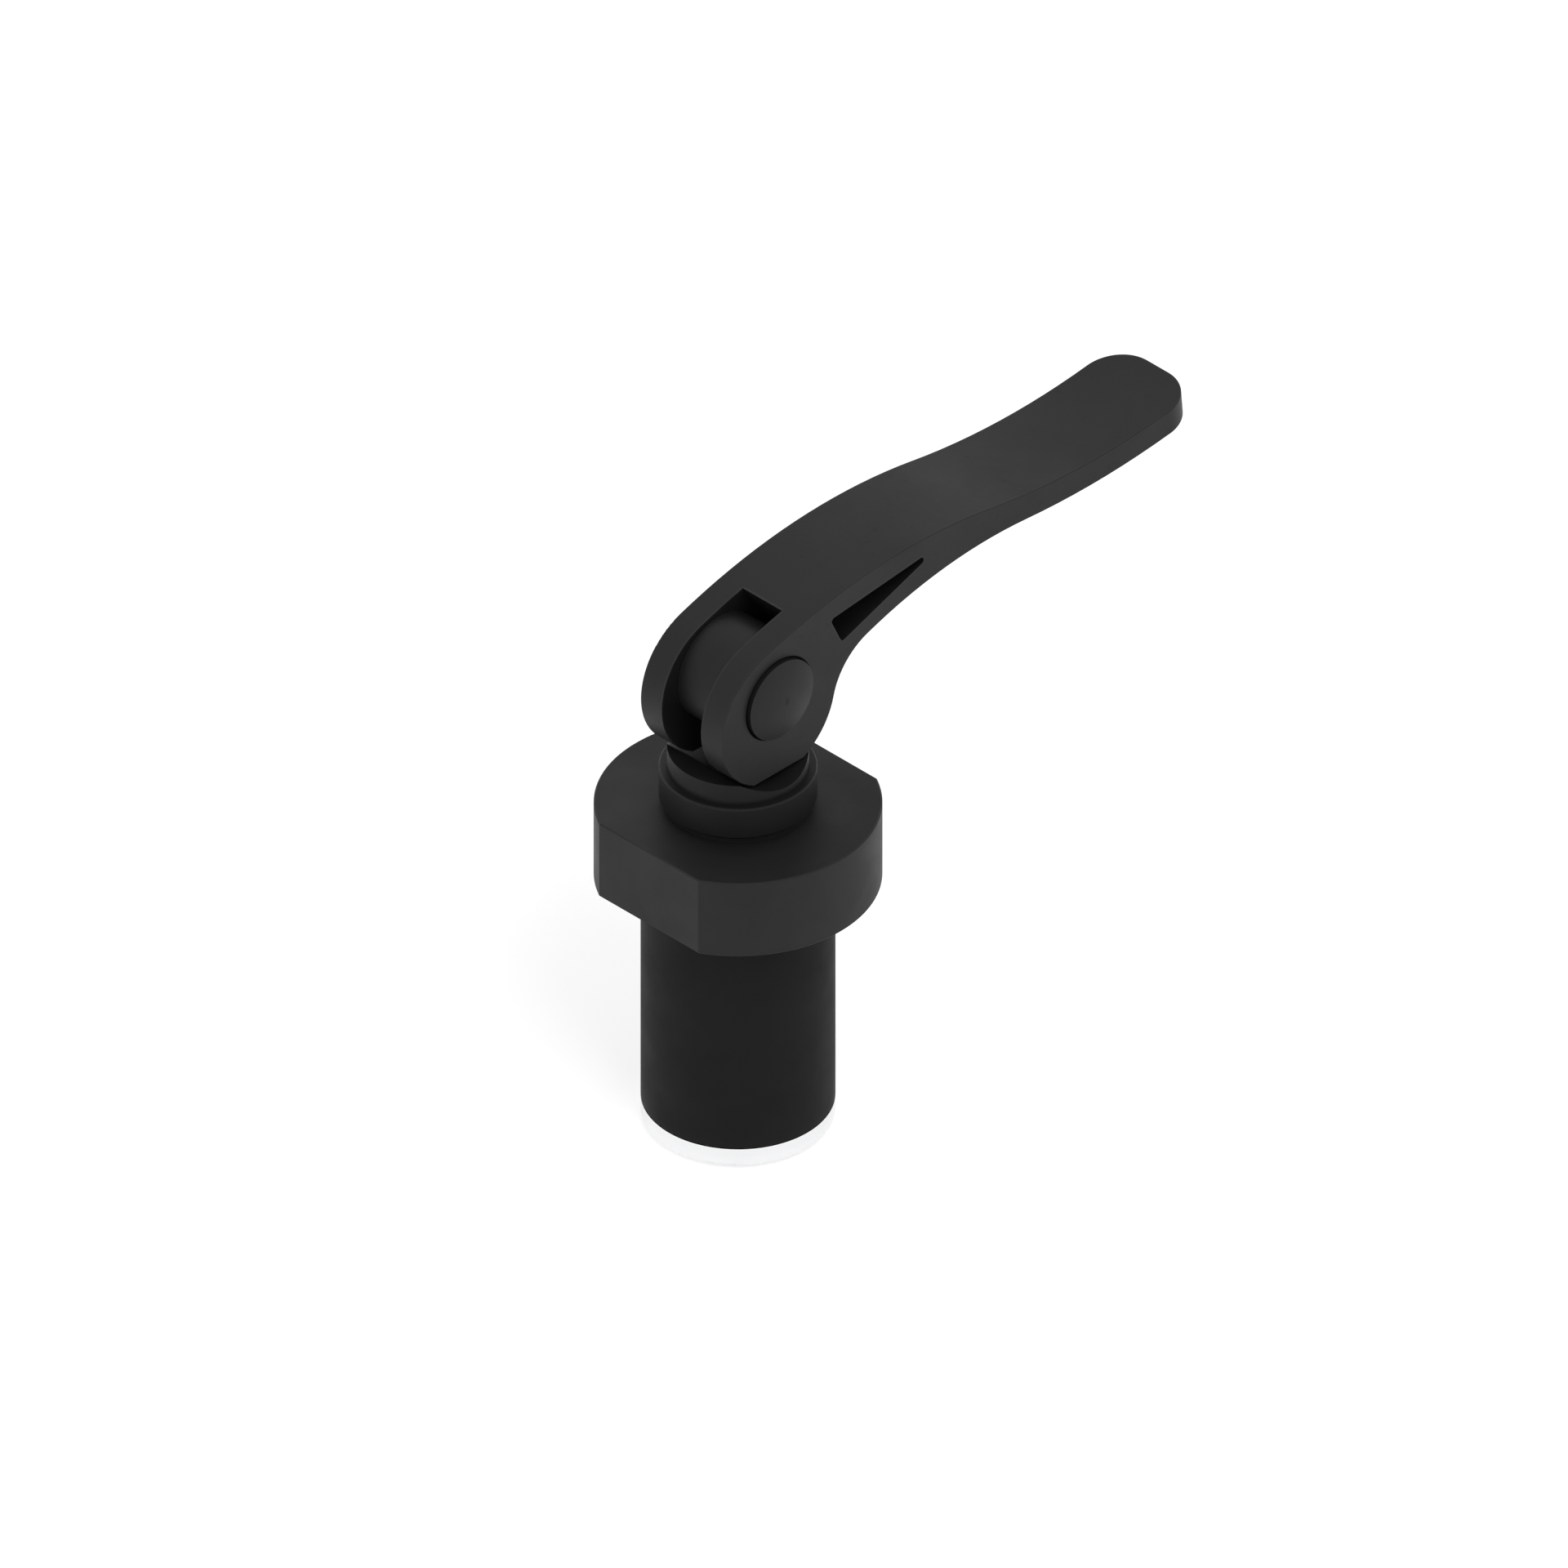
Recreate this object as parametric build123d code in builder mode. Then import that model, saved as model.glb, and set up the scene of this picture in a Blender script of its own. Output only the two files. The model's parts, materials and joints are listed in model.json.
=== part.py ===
"""Cam lever on an expanding rubber clamp.

A forked cam lever turns on a cross pin. A tie rod hangs from the pin, runs down through
a saddle stack, a flange and a rubber sleeve, and ends in a pressure disc. Laying the
handle down lifts the disc, squeezes the sleeve and makes it grip the bore around it.

Millimetres. The origin is on the rod's axis at the seat face under the flange, +Z points
up to the lever, +X along the closed handle, and the pin lies along Y.
"""
import os
from math import cos, radians, sin, sqrt

from build123d import *

# ---- Flange: the part that seats on the work
flange_diameter = 40.0
flange_across_flats = 35.0
flange_thickness = 12.4
edge_break = 0.2

# ---- Tie rod and what it pulls
rod_diameter = 6.0
rod_end_chamfer = 0.7
sleeve_diameter = 27.0
sleeve_length = 37.2
sleeve_seat_depth = 0.1
disc_thickness = 2.8
disc_edge_round = 0.4
rivet_diameter = 4.5
rivet_flare = 0.8

# ---- Saddle stack between the flange and the cam
washer_diameter = 20.6
washer_thickness = 1.0
ring_diameter = 22.0
ring_height = 5.2
ring_foot_chamfer = 0.45
ring_top_round = 0.3
cap_diameter = 19.7
cap_height = 3.2
cap_spigot_diameter = 13.0
cap_spigot_depth = 2.5
saddle_depth = 2.0
saddle_extra_radius = 1.3

# ---- Cross pin and its collar
pin_diameter = 12.3
pin_stand_out = 0.6
pin_dome_height = 0.8
collar_wall = 1.85
thread_engagement = 9.2
thread_run_out = 0.6

# ---- Lever: widths and the cam
lever_width = 16.0
cam_radius = 11.1
cam_offset = 2.5
cam_flat_depth = 1.1
cam_seat_gap = 0.48

# ---- Lever: blade outline, as arcs that run tangent into one another
handle_reach = 82.2
crest_x = 25.7
crest_radius = 92.0
waist_x = 62.3
waist_radius = 115.0
blade_thickness = 4.0
neck_radius = 10.1
under_crest_x = 41.8
under_crest_radius = 74.5
under_waist_x = 60.6
under_waist_radius = 132.5
tip_corner_radius = 5.9
tip_lean = 0.35
blade_edge_round = 0.15

# ---- Lever: fork opening and side window
fork_back_angle = 32.9
fork_turn_gap = 1.65
fork_side_gap = 0.85
fork_rod_gap = 1.2
window_upper_wall = 3.25
window_lower_wall = 2.55
window_rise = 1.4
window_drop = 3.8
window_tip_x = 32.4
window_tip_depth = 2.2
window_corner_radius = 0.55

# ---- Clearances, each measured on the radius or on one side
slide_fit = 0.05
thread_fit = 0.05
hinge_fit = 0.08
loose_fit = 0.3
collar_side_gap = 0.1
bore_mouth_chamfer = 0.25

# ---- Heights that follow from the stack
rod_radius = rod_diameter / 2
sleeve_bottom = -sleeve_length
disc_bottom = sleeve_bottom - disc_thickness
washer_bottom = flange_thickness
ring_bottom = washer_bottom + washer_thickness
cap_bottom = ring_bottom + ring_height
cap_top = cap_bottom + cap_height
saddle_radius = cam_radius + saddle_extra_radius
saddle_low = cap_top - saddle_depth
saddle_centre = saddle_low + saddle_radius

# The closed cam's flat stands over the saddle, with its two corners nearest to it.
cam_flat_distance = cam_radius - cam_flat_depth
flat_half_width = sqrt(cam_radius**2 - cam_flat_distance**2)
corner_seat = saddle_centre - sqrt(saddle_radius**2 - flat_half_width**2)
cam_centre_z = corner_seat + cam_seat_gap + cam_flat_distance
pivot_z = cam_centre_z + cam_offset
pin_radius = pin_diameter / 2
collar_diameter = pin_diameter + 2 * collar_wall
fork_gap = rod_diameter + 2 * fork_side_gap
collar_width = fork_gap - 2 * collar_side_gap
rod_top = pivot_z - pin_radius + thread_engagement


def heading(angle):
    """Unit vector at an angle in degrees."""
    return Vector(cos(radians(angle)), sin(radians(angle)))


def touch_point(centre, radius, other):
    """Point where a circle touches a tangent circle that has its centre at other."""
    return centre + (other - centre).normalized() * radius


def on_circle(centre, radius, x, side):
    """Point of a circle at x, on its upper side (+1) or its lower side (-1)."""
    return Vector(x, centre.Y + side * sqrt(radius**2 - (x - centre.X) ** 2))


def meeting_point(centre, radius, other, other_radius):
    """Point where two circles cross, on the right of the way from centre to other."""
    span = (other - centre).length
    along = (radius**2 - other_radius**2 + span**2) / (2 * span)
    across = sqrt(radius**2 - along**2)
    way = (other - centre).normalized()
    return centre + way * along - Vector(-way.Y, way.X) * across


def arc_about(centre, start, end):
    """Arc about a centre from one of its points to another, the short way round."""
    middle = (start + end) / 2 - centre
    return ThreePointArc(start, centre + middle.normalized() * (start - centre).length, end)


# ---- Flange: turned, with two wrench flats across X and a shallow seat for the sleeve
with BuildPart() as flange:
    with BuildSketch():
        Circle(flange_diameter / 2)
        Rectangle(flange_across_flats, flange_diameter, mode=Mode.INTERSECT)
        Circle(rod_radius + slide_fit, mode=Mode.SUBTRACT)
    extrude(amount=flange_thickness)
    chamfer(flange.faces().sort_by(Axis.Z)[-1].outer_wire().edges(), edge_break)
    chamfer(flange.faces().sort_by(Axis.Z)[0].outer_wire().edges(), edge_break)
    with BuildSketch():
        Circle(sleeve_diameter / 2 + slide_fit)
    extrude(amount=sleeve_seat_depth, mode=Mode.SUBTRACT)
flange.part.label = "flange"

# ---- Rubber sleeve: a plain tube, its upper end let into the flange's seat
with BuildPart() as elastomer_sleeve:
    with BuildSketch(Plane.XY.offset(sleeve_bottom)):
        Circle(sleeve_diameter / 2)
        Circle(rod_radius + loose_fit, mode=Mode.SUBTRACT)
    extrude(amount=sleeve_length + sleeve_seat_depth)
elastomer_sleeve.part.label = "elastomer_sleeve"

# ---- Pressure disc: the rod's riveted end fills its countersunk hole
with BuildPart() as pressure_disc:
    with BuildSketch(Plane.XY.offset(disc_bottom)):
        Circle(sleeve_diameter / 2)
        Circle(rivet_diameter / 2, mode=Mode.SUBTRACT)
    extrude(amount=disc_thickness)
    disc_edges = pressure_disc.edges().filter_by(GeomType.CIRCLE)
    fillet(disc_edges.group_by(Axis.Z)[0].sort_by(SortBy.RADIUS)[-1], disc_edge_round)
    disc_edges = pressure_disc.edges().filter_by(GeomType.CIRCLE)
    chamfer(disc_edges.group_by(Axis.Z)[0].sort_by(SortBy.RADIUS)[0], rivet_flare)
pressure_disc.part.label = "pressure_disc"

# ---- Tie rod: shouldered on the disc, screwed up into the cross pin
with BuildPart() as tie_rod:
    with BuildSketch(Plane.XZ):
        with BuildLine():
            rivet_radius = rivet_diameter / 2
            Polyline(
                (0, disc_bottom),
                (rivet_radius + rivet_flare, disc_bottom),
                (rivet_radius, disc_bottom + rivet_flare),
                (rivet_radius, sleeve_bottom),
                (rod_radius, sleeve_bottom),
                (rod_radius, rod_top - rod_end_chamfer),
                (rod_radius - rod_end_chamfer, rod_top),
                (0, rod_top),
                close=True,
            )
        make_face()
    revolve(axis=Axis.Z)
tie_rod.part.label = "tie_rod"

# ---- Slide washer: lets the stack turn on the flange
with BuildPart() as slide_washer:
    with BuildSketch(Plane.XY.offset(washer_bottom)):
        Circle(washer_diameter / 2)
        Circle(rod_radius + loose_fit, mode=Mode.SUBTRACT)
    extrude(amount=washer_thickness)
slide_washer.part.label = "slide_washer"

# ---- Thrust ring: its counterbore takes the cap's spigot
with BuildPart() as thrust_ring:
    with BuildSketch(Plane.XY.offset(ring_bottom)):
        Circle(ring_diameter / 2)
        Circle(rod_radius + loose_fit, mode=Mode.SUBTRACT)
    extrude(amount=ring_height)
    with BuildSketch(Plane.XY.offset(cap_bottom)):
        Circle(cap_spigot_diameter / 2 + slide_fit)
    extrude(amount=-cap_spigot_depth - slide_fit, mode=Mode.SUBTRACT)
    rims = thrust_ring.edges().filter_by(GeomType.CIRCLE)
    chamfer(rims.group_by(Axis.Z)[0].sort_by(SortBy.RADIUS)[-1], ring_foot_chamfer)
    rims = thrust_ring.edges().filter_by(GeomType.CIRCLE)
    fillet(rims.group_by(Axis.Z)[-1].sort_by(SortBy.RADIUS)[-1], ring_top_round)
thrust_ring.part.label = "thrust_ring"

# ---- Saddle cap: a hollow across its top takes the cam
with BuildPart() as saddle_cap:
    with BuildSketch(Plane.XY.offset(cap_bottom)):
        Circle(cap_diameter / 2)
    extrude(amount=cap_height)
    with BuildSketch(Plane.XY.offset(cap_bottom)):
        Circle(cap_spigot_diameter / 2)
    extrude(amount=-cap_spigot_depth)
    with BuildSketch(Plane.XZ):
        with Locations((0, saddle_centre)):
            Circle(saddle_radius)
    extrude(amount=cap_diameter, both=True, mode=Mode.SUBTRACT)
    with BuildSketch(Plane.XY.offset(cap_top)):
        Circle(rod_radius + loose_fit)
    extrude(amount=-cap_height - cap_spigot_depth, mode=Mode.SUBTRACT)
saddle_cap.part.label = "saddle_cap"

# ---- Cross pin: domed ends, tapped from below for the rod
pin_plane = Plane(origin=(0, 0, pivot_z), x_dir=(0, 1, 0), z_dir=(1, 0, 0))
pin_axis = Axis((0, 0, pivot_z), (0, 1, 0))
pin_half_length = lever_width / 2 + pin_stand_out

with BuildPart() as pivot_pin:
    with BuildSketch(pin_plane):
        with BuildLine():
            shoulder = Vector(pin_half_length, pin_radius)
            crown = Vector(pin_half_length + pin_dome_height, 0)
            dome_radius = (pin_radius**2 + pin_dome_height**2) / (2 * pin_dome_height)
            arc_about(crown - Vector(dome_radius, 0), crown, shoulder)
            Line(shoulder, Vector(-shoulder.X, shoulder.Y))
            arc_about(Vector(dome_radius, 0) - crown, Vector(-shoulder.X, shoulder.Y), -crown)
            Line(-crown, crown)
        make_face()
    revolve(axis=pin_axis)
    with BuildSketch(Plane.XY.offset(rod_top + thread_run_out)):
        Circle(rod_radius + thread_fit)
    extrude(amount=-pin_diameter, mode=Mode.SUBTRACT)
pivot_pin.part.label = "pivot_pin"

# ---- Collar: fills the fork round the pin, with a hole below for the rod
with BuildPart() as barrel_collar:
    with BuildSketch(Plane.XZ):
        with Locations((0, pivot_z)):
            Circle(collar_diameter / 2)
            Circle(pin_radius + slide_fit, mode=Mode.SUBTRACT)
    extrude(amount=collar_width / 2, both=True)
    with BuildSketch(Plane.XY.offset(pivot_z)):
        Circle(rod_radius + loose_fit)
    extrude(amount=-collar_diameter, mode=Mode.SUBTRACT)
barrel_collar.part.label = "barrel_collar"

# ---- Lever: centres of the arcs that bound it, seen from the side as (x, z)
pivot = Vector(0, pivot_z)
cam = Vector(0, cam_centre_z)
crest_drop = sqrt((crest_radius - cam_radius) ** 2 - crest_x**2)
crest = Vector(crest_x, cam.Y - crest_drop)
waist_rise = sqrt((crest_radius + waist_radius) ** 2 - (waist_x - crest_x) ** 2)
waist = Vector(waist_x, crest.Y + waist_rise)
under_low = waist.Y - waist_radius - blade_thickness
under_waist = Vector(under_waist_x, under_low + under_waist_radius)
under_span = under_crest_radius + under_waist_radius
under_rise = sqrt(under_span**2 - (under_waist_x - under_crest_x) ** 2)
under_crest = Vector(under_crest_x, under_waist.Y - under_rise)
neck_from_cam = cam_radius + neck_radius
neck_from_crest = under_crest_radius - neck_radius
neck = meeting_point(under_crest, neck_from_crest, cam, neck_from_cam)

flat_front = cam - Vector(flat_half_width, cam_flat_distance)
flat_back = cam + Vector(flat_half_width, -cam_flat_distance)
cam_to_neck = touch_point(cam, cam_radius, neck)
neck_to_under = touch_point(under_crest, under_crest_radius, neck)
under_to_waist = touch_point(under_crest, under_crest_radius, under_waist)
tip_foot = on_circle(under_waist, under_waist_radius, handle_reach + tip_lean, -1)
tip_top = on_circle(waist, waist_radius, handle_reach, -1)
waist_to_crest = touch_point(crest, crest_radius, waist)
crest_to_cam = touch_point(crest, crest_radius, cam)

# The fork's back wall is a plane that touches the circle in which the collar turns.
turn_radius = collar_diameter / 2 + fork_turn_gap
out_of_back = heading(fork_back_angle)
up_the_back = heading(fork_back_angle + 90)
back_foot = pivot + out_of_back * turn_radius
back_head = back_foot + up_the_back * 2 * cam_radius
beyond = 3 * cam_radius
rod_side = rod_radius + fork_rod_gap

# The side window: two corners stand off the fork's back wall, the third lies along the
# blade. That corner is acute, so its rounding ends the window well short of it.
window_upper = back_foot + out_of_back * window_upper_wall + up_the_back * window_rise
window_lower = back_foot + out_of_back * window_lower_wall - up_the_back * window_drop
window_tip = on_circle(crest, crest_radius, window_tip_x, 1) - Vector(0, window_tip_depth)

with BuildPart() as lever:
    with BuildSketch(Plane.XZ):
        with BuildLine():
            Line(flat_front, flat_back)
            arc_about(cam, flat_back, cam_to_neck)
            arc_about(neck, cam_to_neck, neck_to_under)
            arc_about(under_crest, neck_to_under, under_to_waist)
            arc_about(under_waist, under_to_waist, tip_foot)
            Line(tip_foot, tip_top)
            arc_about(waist, tip_top, waist_to_crest)
            arc_about(crest, waist_to_crest, crest_to_cam)
            arc_about(cam, crest_to_cam, flat_front)
        make_face()
    extrude(amount=lever_width / 2, both=True)
    tip_face = lever.faces().filter_by(GeomType.PLANE).sort_by(Axis.X)[-1]
    fillet(tip_face.edges().filter_by(Axis.Y, reverse=True), tip_corner_radius)
    side_faces = lever.faces().filter_by(Axis.Y)
    fillet(side_faces.edges(), blade_edge_round)

    with BuildSketch(Plane.XZ):
        with Locations((0, pivot_z)):
            Circle(turn_radius)
        with BuildLine():
            Polyline(
                back_foot,
                back_head,
                (-beyond, back_head.Y),
                (-beyond, pivot_z - beyond),
                (rod_side, pivot_z - beyond),
                (rod_side, pivot_z),
                close=True,
            )
        make_face()
    extrude(amount=fork_gap / 2, both=True, mode=Mode.SUBTRACT)

    with BuildSketch(Plane.XZ):
        with BuildLine():
            Polyline(window_upper, window_lower, window_tip, close=True)
        make_face()
        fillet(vertices(), window_corner_radius)
    extrude(amount=lever_width, both=True, mode=Mode.SUBTRACT)

    with BuildSketch(Plane.XZ):
        with Locations((0, pivot_z)):
            Circle(pin_radius + hinge_fit)
    extrude(amount=lever_width, both=True, mode=Mode.SUBTRACT)
    bore_rims = lever.edges().filter_by(GeomType.CIRCLE).group_by(SortBy.RADIUS)
    pin_rims = bore_rims.group(pin_radius + hinge_fit).group_by(Axis.Y)
    chamfer(pin_rims[0] + pin_rims[-1], bore_mouth_chamfer)
lever.part.label = "lever"

# ---- One STEP file for each piece
os.makedirs("parts", exist_ok=True)
export_step(flange.part, "parts/flange.step")
export_step(elastomer_sleeve.part, "parts/elastomer_sleeve.step")
export_step(pressure_disc.part, "parts/pressure_disc.step")
export_step(tie_rod.part, "parts/tie_rod.step")
export_step(slide_washer.part, "parts/slide_washer.step")
export_step(thrust_ring.part, "parts/thrust_ring.step")
export_step(saddle_cap.part, "parts/saddle_cap.step")
export_step(pivot_pin.part, "parts/pivot_pin.step")
export_step(barrel_collar.part, "parts/barrel_collar.step")
export_step(lever.part, "parts/lever.step")
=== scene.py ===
"""Looks for the cam lever on its expanding rubber clamp.

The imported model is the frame. Its hard parts keep their shapes and are dressed here.
The tie rod is made again with its thread, and the rubber sleeve with its moulded ends.
Everything is in metres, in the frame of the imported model.
"""
from __future__ import annotations

import json
import logging
import math
from dataclasses import dataclass
from enum import Enum
from typing import Any, ClassVar

import bpy
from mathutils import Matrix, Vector

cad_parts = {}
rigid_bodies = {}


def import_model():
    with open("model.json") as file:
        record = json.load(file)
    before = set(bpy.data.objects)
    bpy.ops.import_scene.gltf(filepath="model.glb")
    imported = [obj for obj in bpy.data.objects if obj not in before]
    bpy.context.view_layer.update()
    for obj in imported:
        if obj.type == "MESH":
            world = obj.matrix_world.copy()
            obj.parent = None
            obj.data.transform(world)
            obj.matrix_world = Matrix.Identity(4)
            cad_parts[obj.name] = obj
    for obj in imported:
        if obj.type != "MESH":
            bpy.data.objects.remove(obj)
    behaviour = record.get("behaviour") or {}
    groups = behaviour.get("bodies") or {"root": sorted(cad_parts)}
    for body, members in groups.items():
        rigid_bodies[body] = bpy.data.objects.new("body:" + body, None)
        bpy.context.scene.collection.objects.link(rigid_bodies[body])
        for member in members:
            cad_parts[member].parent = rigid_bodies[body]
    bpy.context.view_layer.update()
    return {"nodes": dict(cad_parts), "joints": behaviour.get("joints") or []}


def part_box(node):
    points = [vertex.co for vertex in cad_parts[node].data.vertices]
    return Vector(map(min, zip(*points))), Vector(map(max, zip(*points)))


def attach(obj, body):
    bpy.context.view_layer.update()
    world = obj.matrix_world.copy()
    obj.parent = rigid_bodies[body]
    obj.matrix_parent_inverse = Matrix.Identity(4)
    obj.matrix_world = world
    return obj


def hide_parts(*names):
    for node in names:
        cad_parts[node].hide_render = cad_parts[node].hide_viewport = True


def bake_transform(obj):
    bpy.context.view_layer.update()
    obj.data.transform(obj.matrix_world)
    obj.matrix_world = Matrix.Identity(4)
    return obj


LOG = logging.getLogger("cam_lever")
MM = 0.001

Colour = tuple[float, float, float]
Point = tuple[float, float]
Span = tuple[float, float]

UNIT: Span = (0.0, 1.0)
NOISE_MIDDLE: Span = (0.3, 0.7)
NOISE_MEAN = 0.5
NOISE_ROUGHNESS = 0.55
OCCLUSION_SAMPLES = 8


class Body(Enum):
    """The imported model's bodies that new pieces move with, by their names there."""

    BASE = "base"
    ROD = "rod"


class Slot(Enum):
    """The record's material slots of the rubber and the black oxide steel, which
    nothing here uses.
    """

    RUBBER = "black_rubber"
    OXIDE = "black_oxide_steel"


class TurnAxis(Enum):
    """Which way the axis of a turned part runs."""

    UPRIGHT = "upright"
    ALONG_PIN = "along_pin"


# --------------------------------------------------------------------------------------
# Shader building
# --------------------------------------------------------------------------------------
class Wiring:
    """Adds and joins the nodes of one shader tree."""

    def __init__(self, tree: bpy.types.NodeTree) -> None:
        """Takes the tree that the nodes go into."""
        self.tree = tree

    def node(
        self,
        kind: str,
        inputs: dict[str | int, Any] | None = None,
        **settings: Any,
    ) -> bpy.types.Node:
        """Adds a node.

        Args:
            kind: the node's Blender type name.
            inputs: input name or number to its value, or to the socket linked to it.
            **settings: the node's own settings.

        Returns:
            The new node.
        """
        made = self.tree.nodes.new(kind)
        for name, value in settings.items():
            setattr(made, name, value)
        for name, value in (inputs or {}).items():
            if isinstance(value, bpy.types.NodeSocket):
                self.tree.links.new(value, made.inputs[name])
            else:
                made.inputs[name].default_value = value
        return made

    def maths(self, operation: str, *values: Any) -> bpy.types.NodeSocket:
        """Works out one number.

        Args:
            operation: the Math node's operation.
            *values: its inputs, numbers or sockets.

        Returns:
            The result's socket.
        """
        made = self.node("ShaderNodeMath", dict(enumerate(values)), operation=operation)
        return made.outputs[0]

    def span(
        self, value: bpy.types.NodeSocket, old: Span, new: Span
    ) -> bpy.types.NodeSocket:
        """Maps a number from one range to another, held at both ends.

        Args:
            value: the number's socket.
            old: the two values of it that are mapped, in either order.
            new: what they become.

        Returns:
            The mapped number's socket.
        """
        made = self.node(
            "ShaderNodeMapRange",
            {
                "Value": value,
                "From Min": old[0],
                "From Max": old[1],
                "To Min": new[0],
                "To Max": new[1],
            },
        )
        return made.outputs["Result"]

    def noise(self, vector: Any, scale: Any, detail: float) -> bpy.types.NodeSocket:
        """Adds a noise.

        Args:
            vector: the socket that places it.
            scale: features per metre, a number or a socket.
            detail: how many finer layers it has.

        Returns:
            The noise's value, about 0.5 on average.
        """
        made = self.node(
            "ShaderNodeTexNoise",
            {
                "Vector": vector,
                "Scale": scale,
                "Detail": detail,
                "Roughness": NOISE_ROUGHNESS,
            },
        )
        return made.outputs["Fac"]

    def blend_colours(
        self, mask: bpy.types.NodeSocket, low: Any, high: Any
    ) -> bpy.types.NodeSocket:
        """Mixes two colours by a mask.

        Args:
            mask: 0 gives the first colour and 1 the second.
            low: the first colour, or its socket.
            high: the second colour, or its socket.

        Returns:
            The mixed colour's socket.
        """
        made = self.node("ShaderNodeMix", data_type="RGBA")
        ends = {"A": low, "B": high}
        self.tree.links.new(mask, made.inputs[0])
        for socket in made.inputs:
            if socket.type == "RGBA" and socket.name in ends:
                value = ends[socket.name]
                if isinstance(value, bpy.types.NodeSocket):
                    self.tree.links.new(value, socket)
                else:
                    socket.default_value = (*value, 1.0)
        return next(s for s in made.outputs if s.type == "RGBA")


class Effect:
    """A shader node group, built once and placed in each finish that needs it."""

    label: ClassVar[str] = ""
    takes: ClassVar[dict[str, str]] = {}
    gives: ClassVar[tuple[str, ...]] = ()
    built: ClassVar[dict[str, bpy.types.NodeTree]] = {}

    @classmethod
    def group(cls) -> bpy.types.NodeTree:
        """Returns the node group, and builds it the first time."""
        if cls.label not in cls.built:
            tree = bpy.data.node_groups.new(cls.label, "ShaderNodeTree")
            for name, kind in cls.takes.items():
                tree.interface.new_socket(name, in_out="INPUT", socket_type=kind)
            for name in cls.gives:
                tree.interface.new_socket(
                    name, in_out="OUTPUT", socket_type="NodeSocketFloat"
                )
            wiring = Wiring(tree)
            source = tree.nodes.new("NodeGroupInput")
            result = tree.nodes.new("NodeGroupOutput")
            for name, socket in cls.build(wiring, source.outputs).items():
                tree.links.new(socket, result.inputs[name])
            cls.built[cls.label] = tree
        return cls.built[cls.label]

    @classmethod
    def build(cls, wiring: Wiring, given: Any) -> dict[str, bpy.types.NodeSocket]:
        """Wires the group's inside.

        Args:
            wiring: adds nodes to the group.
            given: the group's input sockets, by name.

        Returns:
            The socket for each of the group's outputs.
        """
        raise NotImplementedError

    @classmethod
    def place(cls, wiring: Wiring, **values: Any) -> Any:
        """Puts the group into a material.

        Args:
            wiring: adds nodes to the material.
            **values: the group's inputs, with _ for each space.

        Returns:
            The group's output sockets, by name.
        """
        inputs = {name.replace("_", " "): value for name, value in values.items()}
        return wiring.node("ShaderNodeGroup", inputs, node_tree=cls.group()).outputs


class SkinGrain(Effect):
    """Fine grain with slow patches: the skin of a coat, a moulding or rubber."""

    label = "skin_grain"
    takes = {
        "Vector": "NodeSocketVector",
        "Grains per metre": "NodeSocketFloat",
        "Patches per metre": "NodeSocketFloat",
    }
    gives = ("Grain", "Patch")

    @classmethod
    def build(cls, wiring: Wiring, given: Any) -> dict[str, bpy.types.NodeSocket]:
        """Wires two noises; see Effect.build."""
        grain = wiring.noise(given["Vector"], given["Grains per metre"], detail=3.0)
        patch = wiring.noise(given["Vector"], given["Patches per metre"], detail=2.0)
        return {"Grain": grain, "Patch": wiring.span(patch, NOISE_MIDDLE, UNIT)}


class LatheMarks(Effect):
    """Rings left by a turning tool, on faces and walls alike, round the Z axis."""

    label = "lathe_marks"
    takes = {
        "Vector": "NodeSocketVector",
        "Rings per metre": "NodeSocketFloat",
        "Chatter per metre": "NodeSocketFloat",
    }
    gives = ("Ring", "Band")
    faintest: ClassVar[float] = 0.45
    plain_centre: ClassVar[Span] = (1.0 * MM, 3.0 * MM)

    @classmethod
    def build(cls, wiring: Wiring, given: Any) -> dict[str, bpy.types.NodeSocket]:
        """Wires a noise over radius and height, faint in places; see Effect.build."""
        parts = wiring.node("ShaderNodeSeparateXYZ", {0: given["Vector"]}).outputs
        squares = [wiring.maths("MULTIPLY", parts[i], parts[i]) for i in (0, 1)]
        radius = wiring.maths("SQRT", wiring.maths("ADD", *squares))
        across = wiring.node("ShaderNodeCombineXYZ", {"X": radius, "Z": parts[2]})
        turned = across.outputs[0]
        rings = wiring.noise(turned, given["Rings per metre"], detail=1.0)
        bands = wiring.noise(turned, given["Chatter per metre"], detail=2.0)
        fade = wiring.noise(given["Vector"], given["Chatter per metre"], detail=1.0)
        patchy = wiring.span(fade, NOISE_MIDDLE, (cls.faintest, 1.0))
        outside = wiring.span(radius, cls.plain_centre, UNIT)
        depth = wiring.maths("MULTIPLY", patchy, outside)
        ripple = wiring.maths("SUBTRACT", rings, NOISE_MEAN)
        ring = wiring.maths("MULTIPLY_ADD", ripple, depth, NOISE_MEAN)
        swing = wiring.span(bands, NOISE_MIDDLE, (-NOISE_MEAN, NOISE_MEAN))
        band = wiring.maths("MULTIPLY", swing, outside)
        return {"Ring": ring, "Band": wiring.maths("ADD", band, NOISE_MEAN)}


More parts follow.
